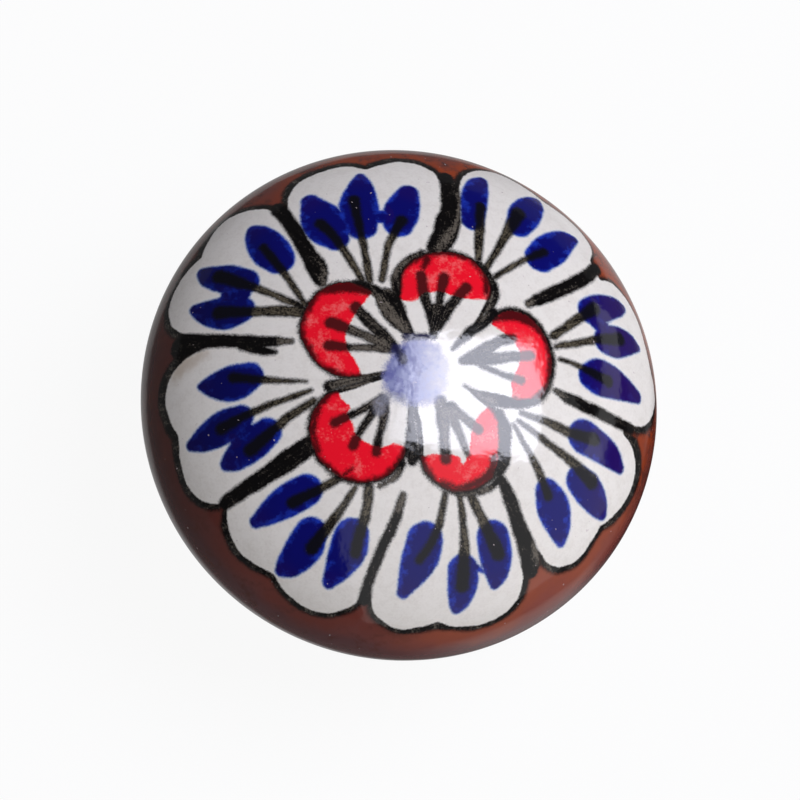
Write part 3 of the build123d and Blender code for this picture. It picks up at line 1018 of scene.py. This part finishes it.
    def cups(self, base, white, crescent):
        """White cups with black outlines and red crescents, their stamens, and the strokes between them."""
        outline = self.edge_of("cup_outline", 1.0)
        grains = self.ramp(self.grit, -0.12, 0.3, 0.0, 0.85)
        grains = self.sum("MULTIPLY", self.within(outline, 0.2, 0.1), grains)
        base = self.over(grains, base, BLACK_GRAINS)
        base = self.over(self.within(outline, 0.19, -0.02), base, self.ink(outline, self.drier(0.3)))
        base = self.filled(base, "cup", 0.8, 0.08, white)
        base = self.over(crescent, base, self.red())
        stamen = self.edge_of("stamen", 0.9)
        tone = self.over(crescent, self.ink(stamen, self.drier(0.35)), BLACK_IN_RED)
        base = self.over(self.within(stamen, 0.17), base, tone)
        return self.inked(base, "wedge", 1.1, self.drier(0.2))

    def middle(self, base):
        """A pale blue middle, which thins out to the right, with its grey wash and navy spots."""
        pale = self.over(self.ramp(self.cloud, -0.12, 0.14), PERIWINKLE, PERIWINKLE_CLOUD)
        pale = self.over(self.ramp(self.fleck, 0.16, 0.28), pale, PERIWINKLE_FLECK)
        pale = self.over(self.ramp(self.upward, -0.6, 1.6, 0.0, 0.75), pale, PERIWINKLE_TOP)
        thinned = self.ramp(self.plus(self.across, self.cloud, 4.0), 2.6, -0.8, 0.35, 1.0)
        middle = self.within(self.edge_of("middle", 2.4), 0.35)
        base = self.over(self.sum("MULTIPLY", middle, thinned), base, pale)
        wash = self.within(self.edge_of("wash", 1.8), 0.35)
        wash = self.sum("MULTIPLY", wash, self.ramp(self.fleck, -0.2, 0.1, 0.35, 0.85))
        base = self.over(wash, base, GREY_WASH)
        return self.filled(base, "navy_spot", 1.6, 0.2, NAVY)

    def dust_and_glints(self, base):
        """Pale specks: dust caught in the glaze, and painted glints where its tiny pits catch the light."""
        return self.over(self.ramp(self.noise(3.4, 0.0), 0.345, 0.385, 0.0, 0.6), base, PALE_DUST_AND_GLINTS)


def painted_glaze():
    """Clear glaze over hand painting: a brown ground with the flower on it, and bare clay under the foot."""
    paint = Painting("painted_glaze")
    white = paint.white()
    crescent = paint.within(paint.edge_of("crescent", 0.9), 0.09)
    base = paint.petals(paint.ground(), white)
    base = paint.buds(base)
    base = paint.stems(base)
    base = paint.inked(base, "separator", 1.0, paint.dry)
    base = paint.cups(base, white, crescent)
    base = paint.middle(base)
    # Pale specks of dust, with painted glints among them
    base = paint.dust_and_glints(base)
    bare = paint.within(paint.edge_of("bare", 1.2), 0.08)
    clay = paint.over(paint.ramp(paint.fleck, -0.1, 0.3), CLAY, CLAY_FLECK)
    paint.join(paint.over(bare, base, clay), paint.shader.inputs["Base Color"])
    paint.join(paint.blend(bare, GLAZE_ROUGHNESS, CLAY_ROUGHNESS), paint.shader.inputs["Roughness"])
    paint.shader.inputs["IOR"].default_value = GLAZE_IOR
    ripple = paint.sum("MULTIPLY", paint.noise(4.0, 2.0), paint.blend(crescent, 0.06, 0.18))
    paint.bump(paint.sum("ADD", paint.noise(0.9, 2.0), ripple), GLAZE_WAVE_DEPTH)
    return paint.material


def turned_brass():
    """Brass with fine turning marks, tarnished in places."""
    mix = Mixing("turned_brass")
    marks = mix.noise(7.0, 3.0, 0.6, mix.rings())
    tarnish = mix.noise(0.8, 4.0, 0.6)
    tone = mix.over(mix.ramp(marks, -0.2, 0.25), BRASS, BRASS_MARKS)
    tone = mix.over(mix.ramp(tarnish, 0.0, 0.22, 0.0, 0.7), tone, BRASS_TARNISH)
    mix.join(tone, mix.shader.inputs["Base Color"])
    mix.join(mix.ramp(mix.sum("ADD", marks, tarnish), -0.3, 0.3, 0.22, 0.42), mix.shader.inputs["Roughness"])
    mix.shader.inputs["Metallic"].default_value = 1.0
    mix.bump(marks, BRASS_MARK_DEPTH)
    return mix.material


# Stage

def view_axes():
    """Right, up and back of the photograph's view."""
    back = Vector((-cos(VIEW_TURN) * sin(VIEW_TILT), -sin(VIEW_TURN) * sin(VIEW_TILT), cos(VIEW_TILT)))
    up = (Vector((0, 1, 0)) - back * back.y).normalized()
    return up.cross(back), up, back


def aimed(right, up, back, place):
    """A placement that looks along minus back."""
    return Matrix.Translation(place) @ Matrix((right, up, back)).transposed().to_4x4()


def add_camera():
    """The photograph's view, with the head's widest ring where the photograph has it."""
    right, up, back = view_axes()
    middle = IMAGE_WIDTH / 2
    place = Vector((0, 0, WIDEST_RING)) + back * VIEW_DISTANCE
    place += right * (middle - RING_PIXEL[0]) / PIXELS_PER_MM
    place += up * (RING_PIXEL[1] - middle) / PIXELS_PER_MM
    lens = bpy.data.cameras.new("camera")
    lens.sensor_width = SENSOR_WIDTH
    lens.lens = SENSOR_WIDTH * PIXELS_PER_MM * VIEW_DISTANCE / IMAGE_WIDTH
    lens.clip_start = VIEW_CLIP * MM
    camera = bpy.data.objects.new("camera", lens)
    camera.matrix_world = aimed(right, up, back, place * MM)
    bpy.context.scene.collection.objects.link(camera)
    bpy.context.scene.camera = camera


def add_softbox(name, direction, distance, size, power, side, colour=(1, 1, 1), facing=None):
    """A rectangular lamp that faces the knob's head unless it leans, with one edge along side."""
    back = Vector(facing or direction).normalized()
    right = (Vector(side) - back * back.dot(Vector(side))).normalized()
    lamp = bpy.data.lights.new(name, "AREA")
    lamp.shape = "RECTANGLE"
    lamp.size, lamp.size_y = size
    lamp.energy = power
    lamp.color = colour
    place = Vector((0, 0, APEX * MM)) + Vector(direction).normalized() * distance
    light = bpy.data.objects.new(name, lamp)
    light.matrix_world = aimed(right, back.cross(right), back, place)
    bpy.context.scene.collection.objects.link(light)


def add_lamps():
    """A window with a fainter edge round it, a strip at the right and a broad fill from the front."""
    add_softbox("key", direction=(0.396, 0.148, 0.906), distance=0.5, size=(0.335, 0.277), power=1.29,
                side=(1, -0.075, 0), colour=DAYLIGHT, facing=(0.474, -0.069, 0.878))
    add_softbox("key_edge", direction=(0.36, 0.165, 0.918), distance=0.506, size=(0.372, 0.292), power=0.9,
                side=(1, -0.18, 0), colour=DAYLIGHT, facing=(0.468, -0.254, 0.847))
    add_softbox("side_strip", direction=(0.949, 0.211, 0.224), distance=0.6, size=(0.5, 0.12), power=0.12,
                side=(0.042, -0.444, 0.241))
    add_softbox("front_fill", direction=(0.54, -0.65, 0.53), distance=0.7, size=(1.4, 1.3), power=2.7,
                side=(1, 0.3, 0))


def add_floor():
    """A pale floor, white to the camera, which shows in the glaze in patches, glowing there as a painted
    reflection.
    """
    shape = bmesh.new()
    bmesh.ops.create_circle(shape, cap_ends=True, segments=FLOOR_SEGMENTS, radius=FLOOR_RADIUS)
    mix = Mixing("pale_floor")
    floor = finished_piece("floor", shape, mix.material)
    mix.shader.inputs["Base Color"].default_value = FLOOR_COLOUR
    mix.shader.inputs["Roughness"].default_value = FLOOR_ROUGHNESS
    # Painted reflection: glowing patches of floor that only the glaze's mirrored rays see
    shine = FLOOR_SHINE
    for shine_patch in FLOOR_GLOW_PATCHES:
        patch = mix.ramp(mix.distance(shine_patch.middle), shine_patch.outer, shine_patch.inner, FLOOR_SHINE, shine_patch.shine)
        shine = mix.sum("MAXIMUM", shine, patch)
    shine = mix.sum("MULTIPLY", shine, mix.ramp(mix.distance(FLOOR_SHADE), *FLOOR_SHADE_RADII))
    path = mix.add("ShaderNodeLightPath")
    mirrored = mix.sum("MAXIMUM", path.outputs["Is Glossy Ray"], path.outputs["Is Transmission Ray"])
    glow = mix.add("ShaderNodeEmission")
    mix.join(mix.blend(mirrored, 1.0, shine), glow.inputs["Strength"])
    blend = mix.add("ShaderNodeMixShader")
    seen = mix.sum("MULTIPLY", path.outputs["Is Camera Ray"], FLOOR_WHITE_SHARE)
    mix.join(mix.sum("MAXIMUM", seen, mirrored), blend.inputs[0])
    mix.join(mix.shader.outputs[0], blend.inputs[1])
    mix.join(glow.outputs[0], blend.inputs[2])
    mix.join(blend.outputs[0], mix.nodes["Material Output"].inputs["Surface"])


def add_surroundings():
    """A dim room, white where the camera sees it."""
    world = bpy.data.worlds.new("room")
    world.use_nodes = True
    nodes = world.node_tree.nodes
    path = nodes.new("ShaderNodeLightPath")
    level = nodes.new("ShaderNodeMapRange")
    level.inputs["To Min"].default_value = ROOM_LIGHT
    level.inputs["To Max"].default_value = 1.0
    world.node_tree.links.new(path.outputs["Is Camera Ray"], level.inputs["Value"])
    world.node_tree.links.new(level.outputs[0], nodes["Background"].inputs["Strength"])
    nodes["Background"].inputs["Color"].default_value = (1, 1, 1, 1)
    bpy.context.scene.world = world
    bpy.context.scene.view_settings.view_transform = "Standard"


painted_knob()
tapped_insert()

add_camera()
add_lamps()
add_floor()
add_surroundings()
